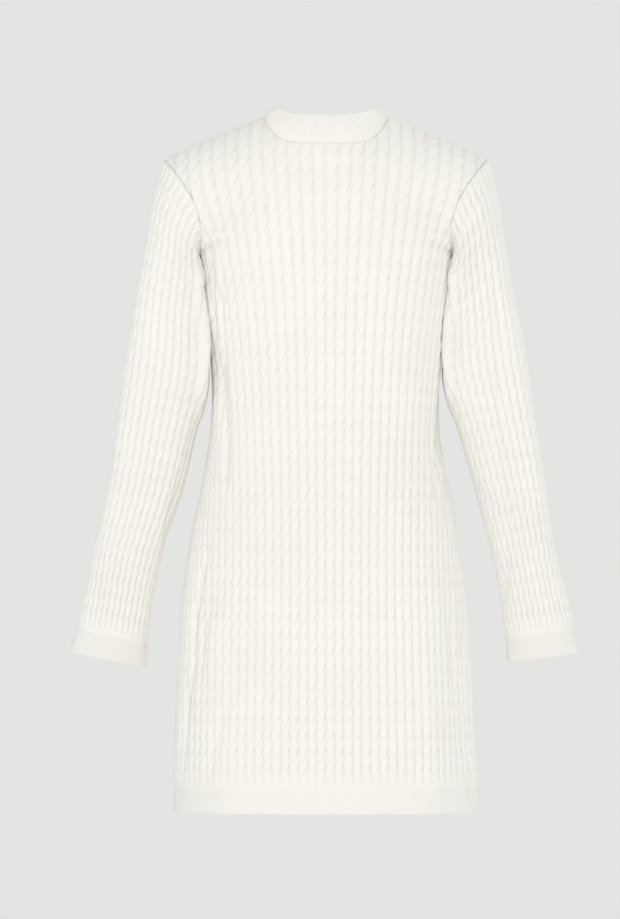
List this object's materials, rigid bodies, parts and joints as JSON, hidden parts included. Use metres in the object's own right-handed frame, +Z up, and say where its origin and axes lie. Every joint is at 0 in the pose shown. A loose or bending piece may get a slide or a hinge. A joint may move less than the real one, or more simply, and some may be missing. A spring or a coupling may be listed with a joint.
{
  "type": "sweater dress",
  "caption": "Plain cable-knit mini sweater dress with long sleeves and a mock neck, filled out and hollow, open at the neck, hem and cuffs.",
  "frame": {"origin": "centre between the shoulders at the height of the shoulder seam's neck end, where the dress hangs on its wearer", "axes": "+Z up along the body to the neck, +Y out of the front, +X to the wearer's right"},
  "size_m": [0.6088, 0.248, 0.8489],
  "materials": {
    "back_knit": "matt cream wool-blend cable knit",
    "front_knit": "matt cream wool-blend cable knit",
    "sleeve_knit": "matt cream wool-blend cable knit",
    "neckband_rib": "matt cream fine rib knit"
  },
  "bodies": {
    "root": {"back": "back_knit", "front": "front_knit", "sleeve_left": "sleeve_knit", "sleeve_right": "sleeve_knit", "neckband": "neckband_rib"}
  },
  "joints": []
}
